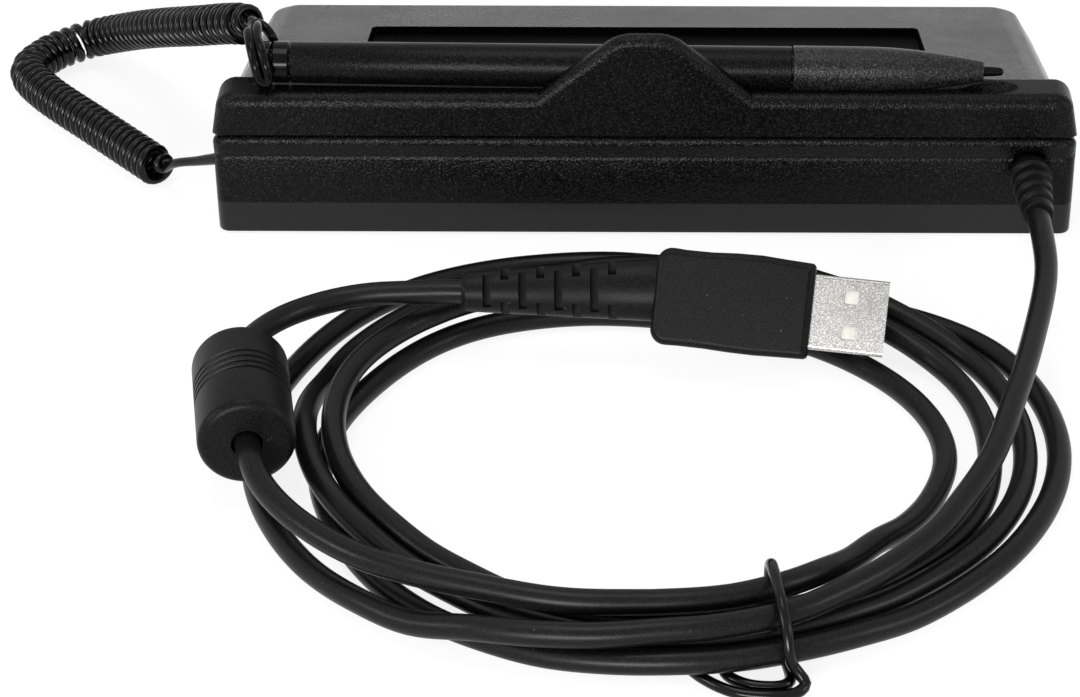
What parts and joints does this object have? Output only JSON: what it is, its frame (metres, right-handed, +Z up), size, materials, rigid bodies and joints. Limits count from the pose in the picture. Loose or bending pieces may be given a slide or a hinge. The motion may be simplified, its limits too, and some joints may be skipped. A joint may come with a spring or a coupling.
{
  "type": "signature pad",
  "caption": "Wedge-shaped counter-top signature pad with a recessed signing window, a pen in a rear groove on a curly tether, and a tied coil of data cable with a bead and plug.",
  "frame": {"origin": "middle of the housing's footprint, on the surface that its feet stand on, without the data cable and tether", "axes": "+Z up; +Y from the rear face, where the cable leaves, towards the low edge nearest the person who signs; +X to the right as seen from the rear, towards the cable's corner"},
  "size_m": [0.1897, 0.198, 0.0379],
  "materials": {
    "case": "fine matte grain",
    "overlay": "satin writing film",
    "foam": "closed-cell foam",
    "panel": "smooth",
    "steel": "plain",
    "board": "laminate",
    "chip": "matte",
    "socket": "matte",
    "ribbon": "film",
    "rubber": "matte",
    "boot": "matte moulding",
    "cable": "soft sheen",
    "tether": "gloss",
    "barrel": "smooth matte",
    "grip": "grained",
    "gloss": "gloss",
    "ferrite": "sintered",
    "nickel": "satin nickel",
    "insert": "ivory",
    "gold": "gold flash"
  },
  "bodies": {
    "housing": {"upper_shell": "case", "lower_shell": "case", "signing_overlay": "overlay", "window_gasket": "foam", "sensor_panel": "panel", "backing_plate": "steel", "main_board": "board", "controller_chip": "chip", "memory_chip": "chip", "cable_header": "socket", "ribbon_socket": "socket", "sensor_ribbon": "ribbon", "tether_lead": "tether", "tether_coil": "tether", "tether_anchor": "tether", "cable_boot": "boot", "inner_cable": "cable", "cable_lead": "cable", "cable_coil": "cable", "cable_tail": "cable", "ferrite_cover": "boot", "ferrite_core": "ferrite", "plug_overmould": "boot", "plug_shell": "nickel", "plug_insert": "insert", "cable_tie": "tether", "board_screw_1": "steel", "case_screw_1": "steel", "foot_1": "rubber", "plug_contact_1": "gold", "board_screw_2": "steel", "case_screw_2": "steel", "foot_2": "rubber", "plug_contact_2": "gold", "board_screw_3": "steel", "case_screw_3": "steel", "foot_3": "rubber", "plug_contact_3": "gold", "board_screw_4": "steel", "case_screw_4": "steel", "foot_4": "rubber", "plug_contact_4": "gold"},
    "pen": {"pen_end_cap": "gloss", "pen_collar": "gloss", "pen_barrel": "barrel", "pen_grip": "grip", "pen_nib": "gloss", "tether_hitch": "tether"}
  },
  "joints": [
    {"name": "pen_lift", "type": "slide", "parent": "housing", "child": "pen", "axis": [0, 0, 1], "range_m": [0, 0.06]}
  ]
}
